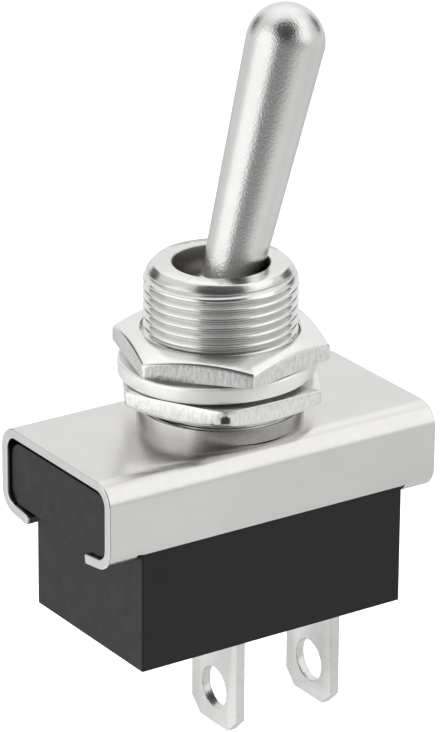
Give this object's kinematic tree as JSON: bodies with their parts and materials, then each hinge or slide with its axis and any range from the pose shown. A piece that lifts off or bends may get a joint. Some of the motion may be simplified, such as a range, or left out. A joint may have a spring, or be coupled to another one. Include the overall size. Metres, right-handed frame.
{
  "type": "panel toggle switch",
  "caption": "Panel toggle switch: a plated bat lever in a threaded bushing with nuts and a lock washer, a folded frame round a moulded base, and blade terminals below.",
  "frame": {"origin": "on the bushing's axis, in the plane of the upper nut's top face, where the free thread starts", "axes": "+Z along the bushing towards the lever, X along the body with the lever leaning and the side terminal towards +X, Y across the body"},
  "size_m": [0.0302, 0.0166, 0.0587],
  "materials": {
    "plated_sheet": "satin nickel plate on folded steel sheet",
    "plated_bushing": "bright nickel plate on a turned and threaded bushing",
    "card": "dark insulating card",
    "moulded_base": "black moulded thermoset, slightly matt",
    "plated_terminal": "bright plate on stamped sheet",
    "contact_silver": "silver",
    "contact_strip": "bare copper alloy strip",
    "plated_lever": "satin nickel plate on a turned bar",
    "bare_steel": "ground steel",
    "moulded_plunger": "natural moulded plastic",
    "plated_nut": "bright nickel plate",
    "plated_washer": "bright nickel plate on spring steel"
  },
  "bodies": {
    "switch_body": {"frame": "plated_sheet", "bushing": "plated_bushing", "insulator_card": "card", "base": "moulded_base", "centre_terminal": "plated_terminal", "side_terminal": "plated_terminal", "fixed_contact": "contact_silver", "lower_nut": "plated_nut", "lock_washer": "plated_washer", "upper_nut": "plated_nut"},
    "lever_body": {"lever": "plated_lever", "pivot_pin": "bare_steel", "plunger_spring": "bare_steel"},
    "plunger_body": {"plunger": "moulded_plunger"},
    "rocker_body": {"rocker": "contact_strip", "moving_contact": "contact_silver"}
  },
  "joints": [
    {"name": "lever_toggle", "type": "hinge", "parent": "switch_body", "child": "lever_body", "pos_m": [0, 0, 0.00047], "axis": [0, 1, 0], "range_deg": [-30, 0]},
    {"name": "plunger_press", "type": "slide", "parent": "lever_body", "child": "plunger_body", "axis": [0.2588, 0, 0.9659], "range_m": [0, 0.0008], "stiffness_N_per_m": 1500, "springref_m": -0.001, "deforming": ["plunger_spring"]},
    {"name": "rocker_tilt", "type": "hinge", "parent": "switch_body", "child": "rocker_body", "pos_m": [0, 0, -0.01406], "axis": [0, 1, 0], "range_deg": [0, 12]}
  ],
  "couplings": [
    {"joint": "rocker_tilt", "follows": "lever_toggle", "ratio": -0.4}
  ]
}
